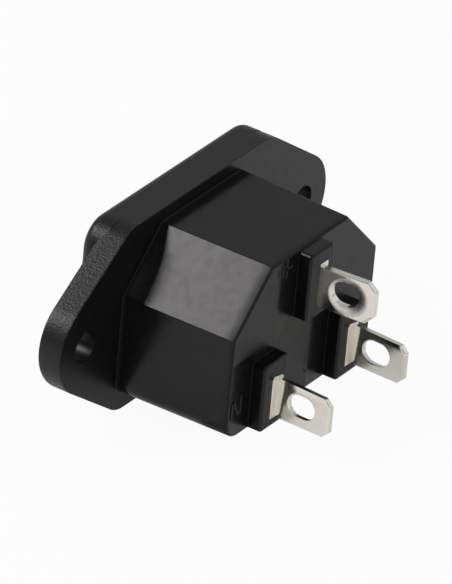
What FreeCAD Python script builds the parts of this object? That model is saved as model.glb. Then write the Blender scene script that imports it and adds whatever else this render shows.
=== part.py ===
"""Screw-flange power inlet with solder tabs: one moulded housing and three folded contact strips.

The frame is the panel's. The origin is the middle of the flange's rear face, which lies on the panel.
+Y points to the rear (terminals), -Y to the plug, +Z up (earth side), and X runs along the flange.
All sizes are in millimetres.
"""
import FreeCAD, Part
import math
import os

Vector = FreeCAD.Vector

# Flange, the plate with two ears that is screwed to the panel
flange_length = 49.0
flange_height = 22.05
flange_shoulder = 26.0
flange_corner_radius = 4.4
ear_radius = 5.75
ear_thickness = 3.25
ear_front_radius = 1.15
screw_spacing = 40.0
screw_hole_diameter = 3.6
countersink_diameter = 5.6
countersink_angle = 90.0

# Bezel, the raised frame round the plug recess on the flange's front
bezel_length = 30.5
bezel_corner_radius = 3.25
bezel_rise = 1.55
bezel_front_radius = 1.2

# Body, the shroud behind the panel, a little narrower at its rear so that it leaves the mould
body_width = 27.1
body_draft = 0.32
body_top = 9.45
body_top_draft = 0.15
body_bottom = -9.15
body_chamfer = 6.25
body_depth = 13.8
body_lower_radius = 2.3
body_edge_radius = 0.2
body_rear_radius = 0.3
body_root_radius = 0.15

# Recess for the plug, inside the body
recess_wall = 1.15
recess_floor = 1.8
recess_lower_radius = 1.2
recess_edge_radius = 0.3
recess_mouth_chamfer = 0.4

# Bosses on the rear wall, one round the foot of each solder tab
boss_width = 4.4
boss_height = 8.0
boss_rise = 1.6
boss_edge_radius = 0.5
boss_face_radius = 0.3
boss_earth_top = 9.05

# Contact blades, made of one strip folded double along its upper edge
strip_thickness = 1.0
blade_height = 4.0
blade_spacing = 14.0
blade_earth_rise = 4.0
blade_middle = 0.0
blade_tip_setback = 2.6
blade_earth_lead = 1.4
blade_tip_length = 0.9
blade_tip_inset = 0.4
fold_radius = 0.6
strip_edge_radius = 0.15
seam_width = 0.16
seam_depth = 0.9

# Foot of each contact in the rear wall, where the strip steps over to its boss
web_cover = 0.5
web_width = 0.8
foot_height = 5.0
foot_drop = 0.2
foot_proud = 0.3

# Solder tabs, pressed thinner than the strip
tab_line_height = 4.45
tab_earth_height = 4.75
tab_thickness = 0.75
tab_length = 7.0
tab_chamfer = 0.95
tab_line_shift = -0.65
tab_earth_shift = 0.0
tab_line_splay = -3.0
tab_earth_splay = 5.0
eyelet_length = 3.6
eyelet_height = 2.8
eyelet_reach = 3.5
eyelet_lead = 0.25
tab_roll = 0.15
earth_setback = 0.4

# Worked out from the sizes above
front_y = -(ear_thickness + bezel_rise)
floor_y = body_depth - recess_floor
boss_y = body_depth + boss_rise
foot_end_y = boss_y + foot_proud
rear_half_width = body_width / 2 - body_draft
rear_top = body_top - body_top_draft
boss_line_bottom = body_bottom
boss_line_middle = boss_line_bottom + boss_height / 2
boss_earth_middle = boss_earth_top - boss_height / 2


def rounded_wire(points, radii, y):
    """Closed wire in the plane at y through the (x, z) points, each corner rounded by its radius."""
    count = len(points)
    arcs = []
    for i, (point, radius) in enumerate(zip(points, radii)):
        corner = Vector(point[0], y, point[1])
        before = Vector(points[i - 1][0], y, points[i - 1][1])
        after = Vector(points[(i + 1) % count][0], y, points[(i + 1) % count][1])
        to_before = (before - corner).normalize()
        to_after = (after - corner).normalize()
        half_angle = to_before.getAngle(to_after) / 2
        reach = radius / math.tan(half_angle)
        middle = (to_before + to_after).normalize() * (radius / math.sin(half_angle) - radius)
        arcs.append((corner + to_before * reach, corner + middle, corner + to_after * reach))
    edges = []
    for i, (start, middle, end) in enumerate(arcs):
        edges.append(Part.Arc(start, middle, end).toShape())
        edges.append(Part.makeLine(end, arcs[(i + 1) % count][0]))
    return Part.Wire(edges)


def prism(points, radii, start_y, end_y):
    """Straight solid between two planes across Y, from a rounded outline."""
    face = Part.Face(rounded_wire(points, radii, start_y))
    return face.extrude(Vector(0, end_y - start_y, 0))


def box(x_range, y_range, z_range):
    """Box from its three ranges."""
    size = [r[1] - r[0] for r in (x_range, y_range, z_range)]
    return Part.makeBox(*size, Vector(x_range[0], y_range[0], z_range[0]))


def edges_at(shape, axis, place):
    """Edges of the shape that lie wholly in one plane across an axis."""
    tolerance = 1e-4
    edges = []
    for edge in shape.Edges:
        ends = (getattr(edge.BoundBox, axis + "Min"), getattr(edge.BoundBox, axis + "Max"))
        if max(abs(end - place) for end in ends) < tolerance:
            edges.append(edge)
    return edges


def flange_plate():
    """Plate with straight shoulders and tapers that run tangent to the round ears."""
    half_height = flange_height / 2
    shoulder = flange_shoulder / 2
    ear_x = flange_length / 2 - ear_radius
    to_ear = math.hypot(ear_x - shoulder, half_height)
    taper = math.atan2(half_height, ear_x - shoulder) - math.asin(ear_radius / to_ear)
    apex = shoulder + half_height / math.tan(taper)
    points = [(apex, 0), (shoulder, half_height), (-shoulder, half_height),
              (-apex, 0), (-shoulder, -half_height), (shoulder, -half_height)]
    corner = flange_corner_radius
    radii = [ear_radius, corner, corner, ear_radius, corner, corner]
    plate = prism(points, radii, -ear_thickness, 0)
    return plate.makeFillet(ear_front_radius, edges_at(plate, "Y", -ear_thickness))


def bezel():
    """Raised rounded frame on the flange's front, flush with its top and bottom edges."""
    x = bezel_length / 2
    z = flange_height / 2
    points = [(x, -z), (x, z), (-x, z), (-x, -z)]
    back_y = -ear_thickness + ear_front_radius
    frame = prism(points, [bezel_corner_radius] * 4, front_y, back_y)
    return frame.makeFillet(bezel_front_radius, edges_at(frame, "Y", front_y))


def body_points(half_width, top, inset):
    """Outline of the body, or of the recess when inset by the wall, with its two chamfered top corners."""
    chamfer_turn = math.pi / 4
    slope_inset = inset * math.tan(chamfer_turn / 2)
    top_x = half_width - body_chamfer - slope_inset
    side_z = top - body_chamfer - slope_inset
    side_x = half_width - inset
    return [(side_x, body_bottom + inset), (side_x, side_z), (top_x, top - inset),
            (-top_x, top - inset), (-side_x, side_z), (-side_x, body_bottom + inset)]


def flat_face(corners):
    """Plane face through its corners."""
    return Part.Face(Part.makePolygon(corners + corners[:1]))


def edges_along(shroud):
    """Edges that run along the body, from the flange to the rear."""
    return [e for e in shroud.Edges if e.BoundBox.YLength > body_depth / 2]


def body_shroud():
    """Body behind the panel, drawn in towards its rear, with soft edges along and behind it."""
    root = [Vector(x, 0, z) for x, z in body_points(body_width / 2, body_top, 0)]
    rear = [Vector(x, body_depth, z) for x, z in body_points(rear_half_width, rear_top, 0)]
    walls = [flat_face([root[i - 1], root[i], rear[i], rear[i - 1]]) for i in range(len(root))]
    shroud = Part.Solid(Part.Shell([flat_face(root), flat_face(rear)] + walls))
    chamfer_low = body_top - body_chamfer
    lower = [e for e in edges_along(shroud) if e.CenterOfMass.z < chamfer_low / 2]
    shroud = shroud.makeFillet(body_lower_radius, lower)
    upper = [e for e in edges_along(shroud) if e.CenterOfMass.z > chamfer_low / 2]
    shroud = shroud.makeFillet(body_edge_radius, upper)
    return shroud.makeFillet(body_rear_radius, edges_at(shroud, "Y", body_depth))


def root_edges(solid, shroud):
    """Edges where the body meets the flange's rear face."""
    tolerance = 1e-4
    root = Part.Compound(edges_at(shroud, "Y", 0))
    edges = []
    for edge in edges_at(solid, "Y", 0):
        middle = edge.valueAt((edge.FirstParameter + edge.LastParameter) / 2)
        if Part.Vertex(middle).distToShape(root)[0] < tolerance:
            edges.append(edge)
    return edges


def plug_recess():
    """Space for the plug, a wall inside the body's narrow end, with a lead-in at its mouth."""
    points = body_points(rear_half_width, rear_top, recess_wall)
    radii = [recess_lower_radius] + [recess_edge_radius] * 4 + [recess_lower_radius]
    space = prism(points, radii, front_y, floor_y)
    mouth_points = body_points(rear_half_width, rear_top, recess_wall - recess_mouth_chamfer)
    mouth = rounded_wire(mouth_points, radii, front_y)
    throat = rounded_wire(points, radii, front_y + recess_mouth_chamfer)
    return space.fuse(Part.makeLoft([mouth, throat], True, True))


def screw_hole(x):
    """Hole through one ear, countersunk on the front."""
    radius = screw_hole_diameter / 2
    sink_radius = countersink_diameter / 2
    sink_depth = (sink_radius - radius) / math.tan(math.radians(countersink_angle / 2))
    front = Vector(x, -ear_thickness, 0)
    hole = Part.makeCylinder(radius, ear_thickness, front, Vector(0, 1, 0))
    return hole.fuse(Part.makeCone(sink_radius, radius, sink_depth, front, Vector(0, 1, 0)))


def boss(x, middle_z):
    """Block on the rear wall round the foot of one solder tab, with soft outer edges."""
    half_width = boss_width / 2
    half_height = boss_height / 2
    points = [(x + half_width, middle_z - half_height), (x + half_width, middle_z + half_height),
              (x - half_width, middle_z + half_height), (x - half_width, middle_z - half_height)]
    block = prism(points, [boss_edge_radius] * 4, floor_y, boss_y)
    return block.makeFillet(boss_face_radius, edges_at(block, "Y", boss_y))


def strip_wire(x_range, z_range, inset, y):
    """Section of the doubled strip: round at its folded corner, nearly square at the others."""
    near_x, far_x = x_range[0] + inset, x_range[1] - inset
    low, high = z_range[0] + inset, z_range[1] - inset
    points = [(far_x, low), (far_x, high), (near_x, high), (near_x, low)]
    edge = strip_edge_radius
    return rounded_wire(points, [edge, fold_radius, edge, edge], y)


def doubled_strip(x_range, z_range, seam_x, y_range, tip):
    """Straight length of the doubled strip, drawn in over its tip, with the leaves' seam underneath."""
    start_y, end_y = y_range
    section = strip_wire(x_range, z_range, 0, start_y + tip)
    length = Part.Face(section).extrude(Vector(0, end_y - start_y - tip, 0))
    if tip > 0:
        point = strip_wire(x_range, z_range, blade_tip_inset, start_y)
        length = length.fuse(Part.makeLoft([point, section], True, True))
    seam_points = [(seam_x - seam_width / 2, z_range[0]), (seam_x, z_range[0] + seam_depth),
                   (seam_x + seam_width / 2, z_range[0])]
    corners = [Vector(x, start_y, z) for x, z in seam_points + seam_points[:1]]
    seam = Part.Face(Part.makePolygon(corners)).extrude(Vector(0, end_y - start_y, 0))
    return length.cut(seam)


def blade(x, middle_z, tip_y):
    """Contact blade in the recess, with its tip drawn in for the plug."""
    x_range = (x - strip_thickness, x + strip_thickness)
    z_range = (middle_z - blade_height / 2, middle_z + blade_height / 2)
    return doubled_strip(x_range, z_range, x, (tip_y, floor_y + web_cover), blade_tip_length)


def edges_between(edges, start_y, end_y):
    """Those of the edges that lie between two places along Y."""
    tolerance = 1e-4
    boxes = [(edge, edge.BoundBox) for edge in edges]
    return [edge for edge, b in boxes if b.YMin > start_y - tolerance and b.YMax < end_y + tolerance]


def solder_tab(x, low, high, die_side, setback, splay):
    """Flat tab with clipped corners and an oval eyelet, bent a few degrees sideways at its foot.

    Its edges are soft on the side that the punch came from.
    """
    middle_z = (low + high) / 2
    foot_y = boss_y - setback
    end_y = foot_y + tab_length
    start_y = body_depth
    side_x = x - tab_thickness / 2
    die_x = x + die_side * tab_thickness / 2
    outline = [(start_y, low), (end_y - tab_chamfer, low), (end_y, low + tab_chamfer),
               (end_y, high - tab_chamfer), (end_y - tab_chamfer, high), (start_y, high)]
    plate_edge = Part.makePolygon([Vector(side_x, y, z) for y, z in outline + outline[:1]])
    plate = Part.Face(plate_edge).extrude(Vector(tab_thickness, 0, 0))
    plate = plate.makeFillet(tab_roll, edges_at(plate, "X", die_x))
    half_straight = (eyelet_length - eyelet_height) / 2
    centre_y = foot_y + eyelet_reach
    eyelet_y = (centre_y - half_straight, centre_y + half_straight)
    eyelet = box((side_x, side_x + tab_thickness), eyelet_y,
                 (middle_z - eyelet_height / 2, middle_z + eyelet_height / 2))
    for y in eyelet_y:
        end = Vector(side_x, y, middle_z)
        eyelet = eyelet.fuse(Part.makeCylinder(eyelet_height / 2, tab_thickness, end, Vector(1, 0, 0)))
    tab = plate.cut(eyelet)
    lip = edges_between(edges_at(tab, "X", die_x),
                        centre_y - eyelet_length / 2, centre_y + eyelet_length / 2)
    tab = tab.makeChamfer(eyelet_lead, lip)
    tab.rotate(Vector(x, foot_end_y, middle_z), Vector(0, 0, 1), splay)
    return tab


def terminal(x, blade_z, boss_z, tip_y, lap_side, tab_height, tab_shift, setback, splay):
    """One contact: blade, step over in the rear wall, foot in the boss and solder tab, all one strip."""
    foot_low = boss_z - foot_drop - foot_height / 2
    foot_high = foot_low + foot_height
    tab_x = x + tab_shift
    tab_side_x = tab_x - lap_side * tab_thickness / 2
    lap_x = x + lap_side * strip_thickness
    seam_x = tab_x + lap_side * tab_thickness / 2
    x_range = (min(lap_x, tab_side_x), max(lap_x, tab_side_x))
    web_y = floor_y + web_cover
    foot = doubled_strip(x_range, (foot_low, foot_high), seam_x, (web_y, foot_end_y), 0)
    web_low = min(foot_low + seam_depth, blade_z - blade_height / 2)
    web_high = max(foot_high, blade_z + blade_height / 2) - fold_radius
    web = box(x_range, (web_y, web_y + web_width), (web_low, web_high))
    tab = solder_tab(tab_x, foot_low, foot_low + tab_height, -lap_side, setback, splay)
    return blade(x, blade_z, tip_y).fuse([web, foot, tab]).removeSplitter()


def housing(terminals):
    """The whole moulding, cut to fit round its three contacts."""
    half_spacing = blade_spacing / 2
    shroud = body_shroud()
    solid = flange_plate().fuse([bezel(), shroud]).removeSplitter()
    solid = solid.makeFillet(body_root_radius, root_edges(solid, shroud))
    bosses = [boss(side * half_spacing, boss_line_middle) for side in (-1, 1)]
    bosses.append(boss(0, boss_earth_middle))
    solid = solid.fuse(bosses).removeSplitter().cut(plug_recess())
    for side in (-1, 1):
        solid = solid.cut(screw_hole(side * screw_spacing / 2))
    return solid.cut(terminals)


line_tip_y = front_y + blade_tip_setback
earth_tip_y = line_tip_y - blade_earth_lead
line_blade_z = blade_middle - blade_earth_rise / 2
earth_blade_z = blade_middle + blade_earth_rise / 2

parts = {}
for name, side in (("line_terminal", -1), ("neutral_terminal", 1)):
    parts[name] = terminal(side * blade_spacing / 2, line_blade_z, boss_line_middle, line_tip_y,
                           1, tab_line_height, tab_line_shift, 0, tab_line_splay)
parts["earth_terminal"] = terminal(0, earth_blade_z, boss_earth_middle, earth_tip_y,
                                   -1, tab_earth_height, tab_earth_shift, earth_setback, tab_earth_splay)
parts["housing"] = housing(list(parts.values()))

os.makedirs("parts", exist_ok=True)
for name, shape in parts.items():
    solids = shape.Solids
    print(name, "solids", len(solids), "valid", shape.isValid(), "volume", round(shape.Volume, 2))
    shape.exportStep(f"parts/{name}.step")
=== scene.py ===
"""Looks of a screw-flange power inlet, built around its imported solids. Metres, +Y to the rear, +Z up."""
import math

import bmesh
import bpy
from mathutils import Matrix, Vector


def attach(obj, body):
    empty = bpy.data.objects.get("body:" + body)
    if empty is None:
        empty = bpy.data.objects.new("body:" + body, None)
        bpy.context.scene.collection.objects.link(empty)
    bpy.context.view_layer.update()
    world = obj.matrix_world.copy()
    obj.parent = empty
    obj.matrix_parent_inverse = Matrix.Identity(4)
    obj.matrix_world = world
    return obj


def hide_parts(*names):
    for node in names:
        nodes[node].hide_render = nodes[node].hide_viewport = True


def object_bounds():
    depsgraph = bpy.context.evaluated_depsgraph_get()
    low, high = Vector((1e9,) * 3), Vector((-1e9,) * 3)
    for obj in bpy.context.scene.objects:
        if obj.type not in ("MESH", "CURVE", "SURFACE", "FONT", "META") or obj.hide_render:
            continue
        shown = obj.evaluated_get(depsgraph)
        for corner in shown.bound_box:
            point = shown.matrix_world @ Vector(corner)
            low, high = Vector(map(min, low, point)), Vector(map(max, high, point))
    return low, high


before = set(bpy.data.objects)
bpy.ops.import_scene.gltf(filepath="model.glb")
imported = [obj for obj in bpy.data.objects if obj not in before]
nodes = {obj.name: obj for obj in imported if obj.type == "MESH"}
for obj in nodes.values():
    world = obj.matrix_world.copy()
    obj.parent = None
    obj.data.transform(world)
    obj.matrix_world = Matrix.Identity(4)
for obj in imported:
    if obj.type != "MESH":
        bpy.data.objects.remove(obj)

cad_box = [list(corner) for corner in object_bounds()]

# Housing: one injection moulding of black plastic, with flange, shroud and bosses in one piece.
# The mould is polished round the body, and spark-eroded round the flange's rim and front.
plastic = bpy.data.materials.new("moulded_black_plastic")
plastic.use_nodes = True


def add(material, kind, place, **values):
    """New node of a material, with its sockets or properties set by name."""
    node = material.node_tree.nodes.new(kind)
    node.location = place
    for name, value in values.items():
        if name in node.inputs:
            node.inputs[name].default_value = value
        else:
            setattr(node, name, value)
    return node


def join(material, source, target):
    """Link one socket to another."""
    material.node_tree.links.new(source, target)


def work_out(material, operation, place, *terms):
    """Math node over sockets and numbers."""
    node = add(material, "ShaderNodeMath", place, operation=operation)
    for socket, term in zip(node.inputs, terms):
        if isinstance(term, bpy.types.NodeSocket):
            join(material, term, socket)
        else:
            socket.default_value = term
    return node.outputs[0]


def ramp_between(material, place, value, low, high, start, end):
    """Smooth step of a value from low..high to start..end."""
    node = add(material, "ShaderNodeMapRange", place, interpolation_type="SMOOTHSTEP")
    for name, number in (("From Min", low), ("From Max", high), ("To Min", start), ("To Max", end)):
        node.inputs[name].default_value = number
    join(material, value, node.inputs["Value"])
    return node.outputs["Result"]


def noise_at(material, place, vector, scale, detail=2.0, rough=0.5):
    """Noise of so many grains a metre."""
    node = add(material, "ShaderNodeTexNoise", place, Scale=scale, Detail=detail, Roughness=rough)
    join(material, vector, node.inputs["Vector"])
    return node.outputs["Fac"]


def stretched(material, place, vector, scale):
    """Coordinates scaled by one factor an axis, which draws a pattern out."""
    node = add(material, "ShaderNodeMapping", place)
    node.inputs["Scale"].default_value = scale
    join(material, vector, node.inputs["Vector"])
    return node.outputs["Vector"]


def relief(material, place, height, depth, below=None):
    """Bump of a 0..1 height, so many metres deep, over another bump."""
    node = add(material, "ShaderNodeBump", place, Strength=1.0, Distance=depth)
    join(material, height, node.inputs["Height"])
    if below is not None:
        join(material, below, node.inputs["Normal"])
    return node.outputs["Normal"]


shader = plastic.node_tree.nodes["Principled BSDF"]
shader.inputs["IOR"].default_value = 1.4
where = add(plastic, "ShaderNodeTexCoord", (-2200, 0)).outputs["Object"]
split = add(plastic, "ShaderNodeSeparateXYZ", (-2000, 200))
join(plastic, where, split.inputs[0])
along, depth, height = split.outputs

# Grain lies in front of the panel plane, but not in the plug recess or the countersinks
rim_end = (-0.00012, -0.00004)
recess_side = (0.0122, 0.0124)
recess_level = (0.0083, 0.0085)
recess_middle = 0.00015
screw_x = 0.02
countersink = (0.00275, 0.00285)
in_front = ramp_between(plastic, (-1800, 400), depth, *rim_end, 1.0, 0.0)
sideways = work_out(plastic, "ABSOLUTE", (-1800, 200), along)
beside = ramp_between(plastic, (-1600, 250), sideways, *recess_side, 0.0, 1.0)
level = work_out(plastic, "ABSOLUTE", (-1800, 0), work_out(
    plastic, "SUBTRACT", (-1900, 0), height, recess_middle))
above = ramp_between(plastic, (-1600, 50), level, *recess_level, 0.0, 1.0)
outside = work_out(plastic, "MAXIMUM", (-1400, 150), beside, above)
aside = work_out(plastic, "SUBTRACT", (-1600, -150), sideways, screw_x)
radius = work_out(plastic, "SQRT", (-1300, -150), work_out(
    plastic, "MULTIPLY_ADD", (-1400, -150), aside, aside, work_out(
        plastic, "MULTIPLY", (-1500, -250), height, height)))
off_hole = ramp_between(plastic, (-1200, -100), radius, *countersink, 0.0, 1.0)
rimmed = work_out(plastic, "MULTIPLY", (-1100, 100), outside, off_hole)
grained = work_out(plastic, "MULTIPLY", (-1000, 100), in_front, rimmed)

# Colour: carbon black, a little uneven, paler in the grain, with a few specks of dust
black = (0.0034, 0.0056)
grain_tone = 0.009
dust_tone = 0.06
dust_size = (0.02, 0.05)
dust_rarity = 0.86
tint = (1.0, 1.0, 1.06)
clouds = noise_at(plastic, (-1000, 700), where, 260.0, 3.0)
tone = ramp_between(plastic, (-800, 700), clouds, 0.3, 0.7, *black)
specks = add(plastic, "ShaderNodeTexVoronoi", (-1000, 950), feature="F1", Scale=620.0, Randomness=1.0)
join(plastic, where, specks.inputs["Vector"])
chosen = add(plastic, "ShaderNodeSeparateColor", (-800, 1000))
join(plastic, specks.outputs["Color"], chosen.inputs[0])
near = ramp_between(plastic, (-800, 850), specks.outputs["Distance"], *dust_size, 1.0, 0.0)
some = work_out(plastic, "GREATER_THAN", (-600, 1000), chosen.outputs[0], dust_rarity)
dusty = work_out(plastic, "MULTIPLY", (-400, 900), near, some)
chalky = work_out(plastic, "MULTIPLY_ADD", (-400, 750), grained, grain_tone, tone)
lifted = work_out(plastic, "MULTIPLY_ADD", (-200, 800), dusty, dust_tone, chalky)
colour = add(plastic, "ShaderNodeCombineColor", (0, 700))
for channel, share in zip(colour.inputs, tint):
    join(plastic, work_out(plastic, "MULTIPLY", (-100, 700), lifted, share), channel)
join(plastic, colour.outputs[0], shader.inputs["Base Color"])

# Gloss: polished walls with faint handling marks, and dull grain. The flange's rear face, the body's root,
# its rubbed rear edge, the rear wall and the bosses are each duller than the walls by their own wear.
polish_range = (0.18, 0.25)
grain_roughness = 0.38
dust_roughness = 0.5
face_wear, root_wear, edge_wear, rear_wear, boss_wear = 0.13, 0.55, 0.3, 0.1, 0.22
face_end = (0.00001, 0.00004)
root_end = (0.0002, 0.0005)
edge_fade = (0.0122, 0.0137)
edge_end = (0.01374, 0.01379)
rear_start = (0.0134, 0.0136)
boss_face = (0.01535, 0.0154)
smears = noise_at(plastic, (-800, 400), where, 900.0, 4.0, 0.6)
polish = ramp_between(plastic, (-600, 400), smears, 0.35, 0.75, *polish_range)
off_face = ramp_between(plastic, (-1000, 550), depth, *face_end, face_wear, root_wear)
at_root = ramp_between(plastic, (-1000, 500), depth, *root_end, 1.0, 0.0)
at_rear = ramp_between(plastic, (-1000, -650), depth, *rear_start, 0.0, 1.0)
on_boss = ramp_between(plastic, (-1000, 600), depth, *boss_face, rear_wear, boss_wear)
worn = work_out(plastic, "MULTIPLY_ADD", (-500, 500), at_rear, on_boss, work_out(
    plastic, "MULTIPLY_ADD", (-600, 500), at_root, off_face, polish))
to_edge = ramp_between(plastic, (-1000, 800), depth, *edge_fade, 0.0, edge_wear)
before_rear = ramp_between(plastic, (-1000, 750), depth, *edge_end, 1.0, 0.0)
rubbed = work_out(plastic, "MULTIPLY_ADD", (-400, 500), to_edge, before_rear, worn)
rough = add(plastic, "ShaderNodeMix", (-300, 300), data_type="FLOAT")
join(plastic, grained, rough.inputs["Factor"])
join(plastic, rubbed, rough.inputs["A"])
rough.inputs["B"].default_value = grain_roughness
dulled = work_out(plastic, "MULTIPLY_ADD", (-100, 300), dusty, dust_roughness, rough.outputs["Result"])
join(plastic, dulled, shader.inputs["Roughness"])

# Sinks: the rear wall dips on the +X side of each boss, and further out beside the neutral one
boss_pitch = 0.014
to_line_boss = 0.0048
wall_with_boss = -0.005
neutral_side = 0.0085
neutral_extra = -0.0006
dip_end = (0.0028, 0.0037)
dip_tilt = -0.15
high = work_out(plastic, "GREATER_THAN", (-1800, -1200), height, 0.0)
past_boss = work_out(plastic, "FLOORED_MODULO", (-1400, -1200), work_out(
    plastic, "MULTIPLY_ADD", (-1600, -1200), high, boss_pitch / 2, work_out(
        plastic, "ADD", (-1800, -1350), along, to_line_boss)), boss_pitch)
by_neutral = work_out(plastic, "GREATER_THAN", (-1600, -1050), along, neutral_side)
drawn = work_out(plastic, "MULTIPLY_ADD", (-1300, -1100), by_neutral, neutral_extra, past_boss)
beside_boss = ramp_between(plastic, (-1200, -1200), drawn, *dip_end, dip_tilt, 0.0)
with_boss = work_out(plastic, "GREATER_THAN", (-1600, -900), along, wall_with_boss)
dip = work_out(plastic, "MULTIPLY", (-1000, -1200), beside_boss, work_out(
    plastic, "MULTIPLY", (-1200, -1000), at_rear, with_boss))

# Flare: the chamfers spread low down at the flange, just behind the body's root
flare_tilt = 0.13
flare_depth = (0.0, 0.0045)
flare_side = (0.008, 0.0125)
chamfer_foot = (0.0033, 0.0037)
past_root = (0.0002, 0.0004)
near_flange = ramp_between(plastic, (-1400, -1400), depth, *flare_depth, flare_tilt, 0.0)
low_chamfer = ramp_between(plastic, (-1400, -1600), sideways, *flare_side, 0.0, 1.0)
on_chamfer = ramp_between(plastic, (-1400, -1800), height, *chamfer_foot, 0.0, 1.0)
behind = ramp_between(plastic, (-1400, -2000), depth, *past_root, 0.0, 1.0)
flare = work_out(plastic, "MULTIPLY", (-1000, -1400), work_out(
    plastic, "MULTIPLY", (-1200, -1400), near_flange, behind), work_out(
        plastic, "MULTIPLY", (-1200, -1600), low_chamfer, on_chamfer))

# Square edge: the front edge of the ears is squarer than its radius, and the bezel's isn't
edge_tilt = -0.8
bezel_end = (-0.0037, -0.0034)
radius_end = (-0.0021, -0.0017)
normal = add(plastic, "ShaderNodeNewGeometry", (-1400, -2400)).outputs["Normal"]
faced = add(plastic, "ShaderNodeSeparateXYZ", (-1200, -2400))
join(plastic, normal, faced.inputs[0])
past_bezel = ramp_between(plastic, (-1400, -2200), depth, *bezel_end, 0.0, edge_tilt)
on_ear = ramp_between(plastic, (-1400, -2600), depth, *radius_end, 1.0, 0.0)
at_edge = work_out(plastic, "MULTIPLY", (-1200, -2200), past_bezel, on_ear)
squared = work_out(plastic, "MULTIPLY", (-1000, -2200), at_edge, work_out(
    plastic, "MULTIPLY", (-1100, -2300), faced.outputs["Y"], grained))

# Tilt: the sinks, the flare and the square edge turn the normal, and the relief comes on top
tilt = add(plastic, "ShaderNodeCombineXYZ", (-800, -1200))
join(plastic, dip, tilt.inputs["X"])
join(plastic, work_out(plastic, "ADD", (-900, -1400), flare, squared), tilt.inputs["Y"])
tilted = add(plastic, "ShaderNodeVectorMath", (-600, -1200), operation="ADD")
join(plastic, normal, tilted.inputs[0])
join(plastic, tilt.outputs[0], tilted.inputs[1])
sunk = add(plastic, "ShaderNodeVectorMath", (-500, -1200), operation="NORMALIZE")
join(plastic, tilted.outputs[0], sunk.inputs[0])

# Relief: waves of the walls, polishing strokes on the rear wall, and the spark-eroded grain
wave_depth = 0.000016
stroke_depth = 0.000008
stroke_pattern = (3600.0, 400.0, 260.0)
grain_depth = 0.000046
waves = noise_at(plastic, (-1000, -500), where, 150.0, 1.0)
swell = relief(plastic, (-400, -500), waves, wave_depth, sunk.outputs[0])
drawn_out = stretched(plastic, (-1200, -800), where, stroke_pattern)
strokes = noise_at(plastic, (-1000, -800), drawn_out, 1.0, 3.0, 0.6)
stroked = work_out(plastic, "MULTIPLY", (-700, -700), strokes, at_rear)
brushed = relief(plastic, (-200, -600), stroked, stroke_depth, swell)
grains = noise_at(plastic, (-1000, -1000), where, 3600.0, 2.5, 0.6)
eroded = work_out(plastic, "MULTIPLY", (-700, -900), grains, grained)
pitted = relief(plastic, (0, -600), eroded, grain_depth, brushed)
join(plastic, pitted, shader.inputs["Normal"])
nodes["housing"].material_slots[0].material = plastic

# Marks: letters for line and neutral and an earth sign, raised on the rear wall in the same plastic.
# They are cut into the mould. The line letter is polished there, and the others are left dull.
rear_wall = 0.0138
mark_sink = 0.00005
stroke = 0.00032
dull_plastic = bpy.data.materials.new("eroded_black_plastic")
dull_plastic.use_nodes = True
shader = dull_plastic.node_tree.nodes["Principled BSDF"]
shader.inputs["IOR"].default_value = 1.4
where = add(dull_plastic, "ShaderNodeTexCoord", (-1000, 0)).outputs["Object"]
pores = noise_at(dull_plastic, (-800, 0), where, 6000.0, 3.0, 0.6)
tone = ramp_between(dull_plastic, (-500, 200), pores, 0.3, 0.7, 0.012, 0.02)
matt = ramp_between(dull_plastic, (-500, 0), pores, 0.3, 0.7, 0.45, 0.6)
pitted = relief(dull_plastic, (-300, -200), pores, 0.00001)
join(dull_plastic, tone, shader.inputs["Base Color"])
join(dull_plastic, matt, shader.inputs["Roughness"])
join(dull_plastic, pitted, shader.inputs["Normal"])
dull_finish = 0
polished_finish = 1


def bar(mesh, start, end, width, rise, finish):
    """One raised stroke between two (x, z) points of the rear wall, with sloping sides."""
    run = Vector((end[0] - start[0], 0, end[1] - start[1]))
    across = Vector((-run.z, 0, run.x)).normalized() * width / 2
    tip = run.normalized() * width / 2
    foot = [Vector((start[0], 0, start[1])) - tip, Vector((end[0], 0, end[1])) + tip]
    low = [foot[0] - across, foot[1] - across, foot[1] + across, foot[0] + across]
    top_share = 0.6
    centre = (foot[0] + foot[1]) / 2
    verts = [mesh.verts.new((p.x, rear_wall - mark_sink, p.z)) for p in low]
    for p in low:
        shrunk = centre + (p - centre) * (1 - width * (1 - top_share) / (run.length + width))
        verts.append(mesh.verts.new((shrunk.x, rear_wall + rise, shrunk.z)))
    sides = [(verts[i], verts[i + 4], verts[(i + 1) % 4 + 4], verts[(i + 1) % 4]) for i in range(4)]
    for corners in [verts[:4], verts[7:3:-1]] + sides:
        mesh.faces.new(corners).material_index = finish


def letter(mesh, strokes, left, low, width, height, rise, finish):
    """Strokes of one sign in unit squares, put on the rear wall, where a reader's right is -X."""
    for (x0, z0), (x1, z1) in strokes:
        start = (left - x0 * width, low + z0 * height)
        end = (left - x1 * width, low + z1 * height)
        bar(mesh, start, end, stroke, rise, finish)


marks = bmesh.new()
letter_low = -0.0068
letter_height = 0.0024
neutral_letter = [((0, 0.2), (0, 1)), ((0, 1), (1, 0)), ((1, 0), (1, 1))]
line_letter = [((0, 0), (0, 1)), ((0, 0), (1, 0))]
earth_sign = [((1, 0.5), (0.6, 0.5)), ((0.6, 0), (0.6, 1)),
              ((0.3, 0.18), (0.3, 0.82)), ((0, 0.36), (0, 0.64))]
letter(marks, neutral_letter, left=0.0125, low=letter_low, width=0.00152, height=letter_height,
       rise=0.00006, finish=dull_finish)
letter(marks, line_letter, left=-0.0011, low=letter_low, width=0.0014, height=letter_height,
       rise=0.00002, finish=polished_finish)
letter(marks, earth_sign, left=0.0057, low=0.0069, width=0.0023, height=0.0021,
       rise=0.00005, finish=dull_finish)
bmesh.ops.recalc_face_normals(marks, faces=marks.faces)
marks_mesh = bpy.data.meshes.new("terminal_marks")
marks.to_mesh(marks_mesh)
marks.free()
marks_mesh.materials.append(dull_plastic)
marks_mesh.materials.append(plastic)
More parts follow.
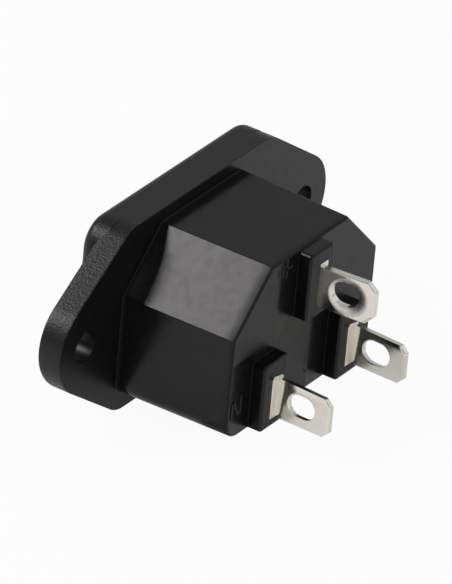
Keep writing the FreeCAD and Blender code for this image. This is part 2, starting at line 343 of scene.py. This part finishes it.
terminal_marks = bpy.data.objects.new("terminal_marks", marks_mesh)
bpy.context.scene.collection.objects.link(terminal_marks)
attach(terminal_marks, "root")

# Boss roots: the small radius that the mould leaves where each boss stands on the rear wall.
# It follows the boss's outline, and stops where the boss meets the edge of the wall.
root_radius = 0.0001
boss_half = 0.0022
boss_corner = 0.0005
# Rise off the wall and spread from the boss of each corner of the root's section, in root radii
root_section = ((-0.5, -0.5), (1.0, 0.0), (0.3, 0.3), (0.0, 1.0))
# Middle across, open end and closed end of each boss
boss_runs = ((-0.007, -0.0088, -0.00115), (0.007, -0.0088, -0.00115), (0.0, 0.0087, 0.00105))
outline = bpy.data.meshes.new("boss_outlines")
corners = []
for x, open_end, closed_end in boss_runs:
    side = boss_half if open_end < closed_end else -boss_half
    corners += [(x + side, rear_wall, open_end), (x + side, rear_wall, closed_end),
                (x - side, rear_wall, closed_end), (x - side, rear_wall, open_end)]
outline.from_pydata(corners, [(4 * i + k, 4 * i + k + 1) for i in range(3) for k in range(3)], [])
boss_roots = bpy.data.objects.new("boss_roots", outline)
bpy.context.scene.collection.objects.link(boss_roots)
tree = bpy.data.node_groups.new("boss_root_radius", "GeometryNodeTree")
tree.interface.new_socket("Outline", in_out="INPUT", socket_type="NodeSocketGeometry")
sockets = {}
for name, size in (("Corner Radius", boss_corner), ("Root Radius", root_radius)):
    sockets[name] = tree.interface.new_socket(name, in_out="INPUT", socket_type="NodeSocketFloat")
    sockets[name].default_value = size
tree.interface.new_socket("Roots", in_out="OUTPUT", socket_type="NodeSocketGeometry")
given = tree.nodes.new("NodeGroupInput")
path = tree.nodes.new("GeometryNodeMeshToCurve")
soft = tree.nodes.new("GeometryNodeFilletCurve")
soft.mode = "POLY"
soft.inputs["Count"].default_value = 6
upright = tree.nodes.new("GeometryNodeSetCurveNormal")
upright.mode = "FREE"
upright.inputs["Normal"].default_value = (0, 1, 0)
section = tree.nodes.new("GeometryNodeCurvePrimitiveQuadrilateral")
section.mode = "POINTS"
sweep = tree.nodes.new("GeometryNodeCurveToMesh")
sweep.inputs["Fill Caps"].default_value = True
whole = tree.nodes.new("GeometryNodeRealizeInstances")
finish = tree.nodes.new("GeometryNodeSetMaterial")
finish.inputs["Material"].default_value = plastic
result = tree.nodes.new("NodeGroupOutput")
for number, (rise, spread) in enumerate(root_section):
    scaled = tree.nodes.new("ShaderNodeVectorMath")
    scaled.operation = "SCALE"
    scaled.inputs[0].default_value = (rise, spread, 0)
    tree.links.new(given.outputs["Root Radius"], scaled.inputs["Scale"])
    tree.links.new(scaled.outputs[0], section.inputs[f"Point {number + 1}"])
for source, target in ((given.outputs["Outline"], path.inputs["Mesh"]),
                       (path.outputs["Curve"], soft.inputs["Curve"]),
                       (given.outputs["Corner Radius"], soft.inputs["Radius"]),
                       (soft.outputs["Curve"], upright.inputs["Curve"]),
                       (upright.outputs["Curve"], sweep.inputs["Curve"]),
                       (section.outputs["Curve"], sweep.inputs["Profile Curve"]),
                       (sweep.outputs["Mesh"], whole.inputs["Geometry"]),
                       (whole.outputs["Geometry"], finish.inputs["Geometry"]),
                       (finish.outputs["Geometry"], result.inputs["Roots"])):
    tree.links.new(source, target)
modifier = boss_roots.modifiers.new("roots", "NODES")
modifier.node_group = tree
modifier[sockets["Corner Radius"].identifier] = boss_corner
modifier[sockets["Root Radius"].identifier] = root_radius
made = bpy.data.meshes.new_from_object(boss_roots.evaluated_get(bpy.context.evaluated_depsgraph_get()))
boss_roots.modifiers.remove(modifier)
boss_roots.data = made
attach(boss_roots, "root")

# Contacts: three strips of tin-plated brass, folded double and moulded into the rear wall.
# One leaf is pressed out to a tab, and the other is sheared off short of it as a foot.
# The punch leaves a soft lip on one side of each eyelet.
clean_plate = (0.97, 0.945, 0.872, 1)
dull_plate = (0.925, 0.893, 0.805, 1)
bright_range = (0.11, 0.15)
sheared_roughness = 0.26
rolling_pattern = (5000.0, 5000.0, 350.0)
dent_depth = 0.000006
score_depth = 0.000014
plating = bpy.data.materials.new("bright_tin_plate")
plating.use_nodes = True
shader = plating.node_tree.nodes["Principled BSDF"]
shader.inputs["Metallic"].default_value = 1
where = add(plating, "ShaderNodeTexCoord", (-1400, 0)).outputs["Object"]
tarnish = noise_at(plating, (-1000, 300), where, 420.0, 4.0, 0.6)
tone = add(plating, "ShaderNodeMix", (-500, 300), data_type="RGBA")
join(plating, ramp_between(plating, (-800, 300), tarnish, 0.35, 0.7, 0.0, 1.0), tone.inputs["Factor"])
tone.inputs["A"].default_value = clean_plate
tone.inputs["B"].default_value = dull_plate
sheared = add(plating, "ShaderNodeAttribute", (-1000, 0), attribute_name="sheared").outputs["Fac"]
rolled = stretched(plating, (-1200, -200), where, rolling_pattern)
streaks = noise_at(plating, (-1000, -200), rolled, 1.0, 3.0, 0.6)
scratches = ramp_between(plating, (-700, 100), streaks, 0.36, 0.6, 0.8, 1.0)
worn = add(plating, "ShaderNodeMix", (-300, 300), data_type="RGBA", blend_type="MULTIPLY")
filed = ramp_between(plating, (-800, 0), sheared, 0.7, 1.0, 0.0, 1.0)
join(plating, filed, worn.inputs["Factor"])
join(plating, tone.outputs["Result"], worn.inputs["A"])
join(plating, scratches, worn.inputs["B"])
join(plating, worn.outputs["Result"], shader.inputs["Base Color"])
bright = ramp_between(plating, (-700, -100), streaks, 0.3, 0.75, *bright_range)
dull = work_out(plating, "MULTIPLY_ADD", (-500, -50), sheared, sheared_roughness, bright)
join(plating, dull, shader.inputs["Roughness"])
dents = noise_at(plating, (-1000, -600), where, 700.0, 2.0)
wavy = relief(plating, (-500, -600), dents, dent_depth)
scored = work_out(plating, "MULTIPLY", (-700, -300), streaks, filed)
join(plating, relief(plating, (-300, -400), scored, score_depth, wavy), shader.inputs["Normal"])

# Sizes in millimetres, as in the solids
mm = 0.001
cut_plane = 15.38
cut_overlap = 0.01
lip_aim = -0.5
lip_steps = 6
face_rings = 14
eye_points = 96
root_fade = 1.6
foot_bevel = 0.03
clip_slope = math.sqrt(0.5)
sharp_angle = math.radians(25)


def eye_reach(turn, radius, straight):
    """Distance from the eyelet's middle to its edge in a direction of the tab."""
    along, up = math.cos(turn), math.sin(turn)
    if radius * abs(along) <= straight * abs(up):
        return radius / abs(up)
    return straight * abs(along) + math.sqrt(radius ** 2 - (straight * up) ** 2)


def edge_reach(turn, sides, share):
    """Distance from the eyelet's middle to the tab's outline, drawn in by a share of that side's soft edge,
    and how far that edge falls away."""
    along, up = math.cos(turn), math.sin(turn)
    reaches = []
    for y, z, gap, (soft, fall) in sides:
        if y * along + z * up > 1e-6:
            reaches.append(((gap - soft * share) / (y * along + z * up), fall))
    return min(reaches)


def solder_tab(mesh, layer, tab):
    """Tab with clipped corners and an oval eyelet, with a dished lip, soft edges and a twisted root."""
    low, high, end = tab["low"], tab["high"], tab["end"]
    eye_y, eye_z, eye, straight = tab["eye"]
    lip_root, lip_end, depth = tab["lip"]
    clip_high, clip_low = tab["clips"]
    top, bottom, far, near = high - eye_z, eye_z - low, end - eye_y, eye_y - cut_plane
    bevel, roll, square = tab["bevel"], tab["roll"], (0.06, 0.01)
    sides = [(1, 0, far, bevel), (0, 1, top, roll), (0, -1, bottom, square), (-1, 0, near, (0.0, 0.0)),
             (clip_slope, clip_slope, (far + top - clip_high) * clip_slope, bevel),
             (clip_slope, -clip_slope, (far + bottom - clip_low) * clip_slope, bevel)]
    corners = [(far, top - clip_high), (far - clip_high, top), (-near, top),
               (far, clip_low - bottom), (far - clip_low, -bottom), (-near, -bottom)]
    turns = [2 * math.pi * i / eye_points for i in range(eye_points)]
    turns += [math.atan2(z, y) % (2 * math.pi) for y, z in corners]
    turns = sorted(set(round(turn, 6) for turn in turns))
    half = tab["thick"] / 2
    rings = [("wall", 0.0)] + [("lip", k / lip_steps) for k in range(lip_steps + 1)]
    rings += [("face", k / face_rings) for k in range(1, face_rings)]
    rings += [("edge", k / lip_steps) for k in range(lip_steps + 1)] + [("rim", 0.0)]
    lean = math.radians(tab["lean"])
    loops = []
    for kind, share in rings:
        loop = []
        for turn in turns:
            lip = lip_root + (lip_end - lip_root) * (1 + math.cos(turn - lip_aim)) / 2
            x = half
            if kind == "wall":
                reach = eye_reach(turn, eye + tab["taper"], straight)
                x = -half
            elif kind == "lip":
                reach = eye_reach(turn, eye + lip * share, straight)
                x -= depth * lip / max(lip_root, lip_end) * (1 - share) ** 2
            elif kind == "face":
                inner = eye_reach(turn, eye + lip, straight)
                reach = inner + (edge_reach(turn, sides, 1)[0] - inner) * share
            elif kind == "edge":
                reach, fall = edge_reach(turn, sides, 1 - share)
                x -= fall * share ** 2
            else:
                reach = edge_reach(turn, sides, 0)[0]
                x = -half
            y, z = eye_y + reach * math.cos(turn), eye_z + reach * math.sin(turn)
            out = y - tab["foot_end"]
            x += tab["twist"] * (high - z) / (high - low) * (1 - out / (end - tab["foot_end"]))
            place = Vector((tab["x"] + x * math.cos(lean) - out * math.sin(lean),
                            tab["foot_end"] + out * math.cos(lean) + x * math.sin(lean), z))
            loop.append(mesh.verts.new(place * mm))
        loops.append(loop)
    count = len(turns)
    for i, (kind, _) in enumerate(rings):
        after = rings[(i + 1) % len(rings)][0]
        a, b = loops[i], loops[(i + 1) % len(rings)]
        for k in range(count):
            face = mesh.faces.new((a[k], a[(k + 1) % count], b[(k + 1) % count], b[k]))
            if kind == "wall":
                face[layer] = tab["torn"]["wall"]
            elif after == "rim":
                face[layer] = tab["torn"]["rim"]
            else:
                out = sum(v.co.y for v in face.verts) / 4 / mm - tab["foot_end"]
                face[layer] = tab["torn"]["root"] * min(max(root_fade - out, 0.0), 1.0)
                if kind == after == "lip":
                    face[layer] = max(face[layer], tab["torn"]["lip"])


def sheared_foot(mesh, layer, outline, end):
    """Stub of the strip that stands out of the boss, cut off square, with sharp edges."""
    x_mid = sum(x for x, z in outline) / len(outline)
    z_mid = sum(z for x, z in outline) / len(outline)
    loops = []
    for y, inset in ((cut_plane, 0.0), (end - foot_bevel, 0.0), (end, foot_bevel)):
        loop = []
        for x, z in outline:
            place = Vector((x + math.copysign(inset, x_mid - x), y, z + math.copysign(inset, z_mid - z)))
            loop.append(mesh.verts.new(place * mm))
        loops.append(loop)
    count = len(outline)
    for a, b in zip(loops, loops[1:]):
        for k in range(count):
            mesh.faces.new((a[k], a[(k + 1) % count], b[(k + 1) % count], b[k]))
    mesh.faces.new(loops[0])
    mesh.faces.new(loops[-1])[layer] = 1.0


# Tab and foot of each contact; the line and neutral ones are alike but for their place.
# A bevel or roll is a soft edge's width and fall, a lip its least and greatest width and its depth,
# an eye its middle, radius and half its straight, and torn says how rough the punch leaves each surface.
pair = dict(end=22.4, thick=0.6, foot_end=15.7, lean=-3.0, clips=(0.75, 0.7), bevel=(0.4, 0.1),
            roll=(0.6, 0.066), lip=(0.2, 0.04, 0.05), taper=0.1, twist=0.28,
            torn=dict(wall=0.4, rim=0.15, lip=0.1, root=0.0))
earth = dict(end=22.0, thick=0.75, foot_end=15.5, lean=5.0, clips=(0.95, 0.95), bevel=(0.35, 0.08),
             roll=(0.12, 0.03), lip=(0.3, 1.1, 0.175), taper=0.0, twist=0.0,
             torn=dict(wall=0.1, rim=0.5, lip=0.6, root=0.3))
foot_pair = [(1.0, -7.75), (1.0, -3.1), (0.84, -2.87), (0.55, -2.86), (-0.72, -3.08), (-1.025, -3.35),
             (-1.025, -7.85), (0.92, -7.85)]
line_lift = 0.12
foot_line = [(x, z + line_lift) for x, z in foot_pair]
foot_earth = [(0.33, 2.4), (0.33, 7.15), (0.42, 7.2), (0.42, 7.45), (-0.9, 7.45), (-1.0, 7.35), (-1.0, 2.4)]
contacts = (
    ("line_terminal", "line_contact", -7.0,
     dict(pair, x=-7.47, low=-7.65, high=-3.2, eye=(18.83, -5.32, 1.3, 0.4)), foot_line),
    ("neutral_terminal", "neutral_contact", 7.0,
     dict(pair, x=6.53, low=-7.85, high=-3.4, eye=(18.9, -5.5, 1.27, 0.4)), foot_pair),
    ("earth_terminal", "earth_contact", 0.0,
     dict(earth, x=0.0, low=2.35, high=7.1, eye=(18.5, 4.85, 1.4, 0.25)), foot_earth))
for node_name, name, middle, tab, foot in contacts:
    mesh = bmesh.new()
    mesh.from_mesh(nodes[node_name].data)
    bmesh.ops.remove_doubles(mesh, verts=mesh.verts, dist=1e-7)
    cut = (0, (cut_plane + cut_overlap) * mm, 0)
    bmesh.ops.bisect_plane(mesh, geom=mesh.verts[:] + mesh.edges[:] + mesh.faces[:], dist=1e-9,
                           plane_co=cut, plane_no=(0, 1, 0), clear_outer=True)
    bmesh.ops.holes_fill(mesh, edges=[e for e in mesh.edges if e.is_boundary], sides=0)
    layer = mesh.faces.layers.float.new("sheared")
    solder_tab(mesh, layer, tab)
    sheared_foot(mesh, layer, [(middle + x, z) for x, z in foot], tab["foot_end"])
    bmesh.ops.recalc_face_normals(mesh, faces=mesh.faces)
    data = bpy.data.meshes.new(name)
    mesh.to_mesh(data)
    mesh.free()
    data.polygons.foreach_set("use_smooth", [True] * len(data.polygons))
    data.set_sharp_from_angle(angle=sharp_angle)
    data.materials.append(plating)
    contact = bpy.data.objects.new(name, data)
    bpy.context.scene.collection.objects.link(contact)
    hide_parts(node_name)
    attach(contact, "root")

# Web: a thin skin of the housing's plastic that closes each boss above and below the foot.
# It is moulded with the boss, and it lies in the boss's rear face.
web = bmesh.new()
web_back = 15.37
web_face = 15.405
web_top = -2.65
web_bottom = -7.9
web_half = 1.05
above_foot = [(middle, foot[1:6] + [(foot[5][0], web_top), (foot[1][0], web_top)])
              for _, _, middle, _, foot in contacts[:2]]
below_line = (contacts[0][2], [(-web_half, web_bottom), (web_half, web_bottom),
                               foot_line[0], foot_line[7], foot_line[6]])
for middle, rim in above_foot + [below_line]:
    loops = [[web.verts.new(Vector((middle + x, y, z)) * mm) for x, z in rim] for y in (web_back, web_face)]
    web.faces.new(loops[0])
    web.faces.new(loops[1])
    for k in range(len(rim)):
        web.faces.new((loops[0][k], loops[0][k - 1], loops[1][k - 1], loops[1][k]))
bmesh.ops.recalc_face_normals(web, faces=web.faces)
web_mesh = bpy.data.meshes.new("boss_webs")
web.to_mesh(web_mesh)
web.free()
web_mesh.materials.append(plastic)
boss_webs = bpy.data.objects.new("boss_webs", web_mesh)
bpy.context.scene.collection.objects.link(boss_webs)
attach(boss_webs, "root")

# Floor: a sheet of white paper that the flange's lower edge stands on, which keeps a faint shadow.
# Gloss shows it grey, with a painted shadow under the rear end of the body, where the glow that gloss sees
# is left out.
floor_z = cad_box[0][2]
reach = 0.6
white_share = 0.95
gloss_share = 0.37
shade_side = (0.0155, 0.0175)
shade_middle = 0.0115
shade_depth = (0.0016, 0.0032)
floor_mesh = bpy.data.meshes.new("floor")
floor_mesh.from_pydata([(-reach, -reach, floor_z), (reach, -reach, floor_z),
                        (reach, reach, floor_z), (-reach, reach, floor_z)], [], [(0, 1, 2, 3)])
floor = bpy.data.objects.new("floor", floor_mesh)
bpy.context.scene.collection.objects.link(floor)
paper = bpy.data.materials.new("white_paper")
paper.use_nodes = True
paper.node_tree.nodes.clear()
output = add(paper, "ShaderNodeOutputMaterial", (600, 0))
sheet = add(paper, "ShaderNodeBsdfDiffuse", (0, 0), Color=(0.8, 0.8, 0.8, 1))
glow = add(paper, "ShaderNodeEmission", (0, -200), Color=(1, 1, 1, 1), Strength=1.0)
path = add(paper, "ShaderNodeLightPath", (-600, 200))
seen = work_out(paper, "MULTIPLY", (-400, 300), path.outputs["Is Camera Ray"], white_share)
mirrored = work_out(paper, "MAXIMUM", (-400, 100), path.outputs["Is Glossy Ray"],
                    path.outputs["Is Transmission Ray"])
spot = add(paper, "ShaderNodeSeparateXYZ", (-1000, -200))
join(paper, add(paper, "ShaderNodeTexCoord", (-1200, -200)).outputs["Object"], spot.inputs[0])
to_side = work_out(paper, "ABSOLUTE", (-800, -100), spot.outputs["X"])
to_rear = work_out(paper, "ABSOLUTE", (-800, -300), work_out(
    paper, "SUBTRACT", (-900, -300), spot.outputs["Y"], shade_middle))
# Painted shadow: the glow that gloss sees fades out in a fixed patch under the rear end of the body
clear = work_out(paper, "MAXIMUM", (-400, -200), ramp_between(
    paper, (-600, -100), to_side, *shade_side, 0.0, gloss_share), ramp_between(
        paper, (-600, -300), to_rear, *shade_depth, 0.0, gloss_share))
share = work_out(paper, "MULTIPLY_ADD", (-200, 200), mirrored, clear, seen)
mix = add(paper, "ShaderNodeMixShader", (300, 0))
join(paper, share, mix.inputs[0])
join(paper, sheet.outputs[0], mix.inputs[1])
join(paper, glow.outputs[0], mix.inputs[2])
join(paper, mix.outputs[0], output.inputs["Surface"])
floor_mesh.materials.append(paper)

# Light: a soft box over the near ear, which the chamfer mirrors, and a card behind for the rear edges.
# A narrow strip between the two lights the edge behind the chamfer, and a faint card the far side.
# The room is grey, paler on one side, and white to the camera.
lamp_distance = 0.6
room_range = (-0.62, 0.1)
pale_wall = 0.38
grey_wall = 0.08
gloss_white = 0.06
world = bpy.data.worlds.new("studio")
bpy.context.scene.world = world
world.use_nodes = True
world.node_tree.nodes.clear()
output = add(world, "ShaderNodeOutputWorld", (600, 0))
facing = add(world, "ShaderNodeSeparateXYZ", (-800, 0))
join(world, add(world, "ShaderNodeTexCoord", (-1000, 0)).outputs["Generated"], facing.inputs[0])
wall = ramp_between(world, (-600, 0), facing.outputs["X"], *room_range, pale_wall, grey_wall)
room = add(world, "ShaderNodeBackground", (0, 0), Color=(0.99, 1.0, 1.03, 1))
join(world, wall, room.inputs["Strength"])
white = add(world, "ShaderNodeBackground", (0, -200), Color=(1, 1, 1, 1))
path = add(world, "ShaderNodeLightPath", (-600, 200))
mirrored = work_out(world, "MAXIMUM", (-400, 100), path.outputs["Is Glossy Ray"],
                    path.outputs["Is Transmission Ray"])
share = work_out(world, "MULTIPLY_ADD", (-200, 200), mirrored, gloss_white, path.outputs["Is Camera Ray"])
mix = add(world, "ShaderNodeMixShader", (300, 0))
join(world, share, mix.inputs[0])
join(world, room.outputs[0], mix.inputs[1])
join(world, white.outputs[0], mix.inputs[2])
join(world, mix.outputs[0], output.inputs["Surface"])


def soft_box(name, towards, along, shift, width, height, radiance, colour):
    """Area lamp that faces the origin from a direction, moved along its width, with a given brightness."""
    lamp = bpy.data.lights.new(name, "AREA")
    lamp.shape = "RECTANGLE"
    lamp.size = width
    lamp.size_y = height
    lamp.energy = radiance * math.pi * width * height
    lamp.color = colour
    holder = bpy.data.objects.new(name, lamp)
    back = Vector(towards).normalized()
    across = (Vector(along) - back * back.dot(Vector(along))).normalized()
    facing = Matrix((across, back.cross(across), back)).transposed().to_4x4()
    holder.matrix_world = Matrix.Translation(back * lamp_distance + across * shift) @ facing
    bpy.context.scene.collection.objects.link(holder)


soft_box("key", towards=(0.508, -0.452, 0.733), along=(0, 1, 0), shift=-0.115,
         width=0.35, height=0.25, radiance=8.6, colour=(1.0, 0.96, 0.97))
soft_box("card", towards=(0.15, 0.9, 0.42), along=(1, 0, 0), shift=0.0,
         width=0.3, height=0.3, radiance=2.1, colour=(1.0, 0.98, 0.95))
soft_box("bridge", towards=(0.526, 0.397, 0.751), along=(-0.22, 1, -0.22), shift=0.02,
         width=0.5, height=0.07, radiance=2.2, colour=(1.0, 0.97, 0.97))
soft_box("back_card", towards=(-0.733, 0.508, 0.452), along=(1, 0, 0), shift=0.0,
         width=0.3, height=0.3, radiance=0.25, colour=(1.0, 1.0, 1.0))

# Camera: far off with a long lens, so that parallel edges stay nearly parallel.
# It stands behind the part, above it and beside its near ear, as solved from points of the photo.
sensor = 36.0
frame_height = 584
focal_pixels = 11340.9
camera_place = (0.8666, 0.5387, 0.6002)
camera_data = bpy.data.cameras.new("camera")
camera_data.sensor_width = sensor
camera_data.lens = focal_pixels * sensor / frame_height
camera = bpy.data.objects.new("camera", camera_data)
right = Vector((-0.56326, 0.82234, 0.08062))
down = Vector((0.38145, 0.34534, -0.85746))
ahead = Vector((-0.73296, -0.45222, -0.50819))
turn = Matrix((right, -down, -ahead)).transposed()
camera.matrix_world = Matrix.Translation(camera_place) @ turn.to_4x4()
bpy.context.scene.collection.objects.link(camera)
bpy.context.scene.camera = camera
bpy.context.scene.view_settings.view_transform = "Standard"
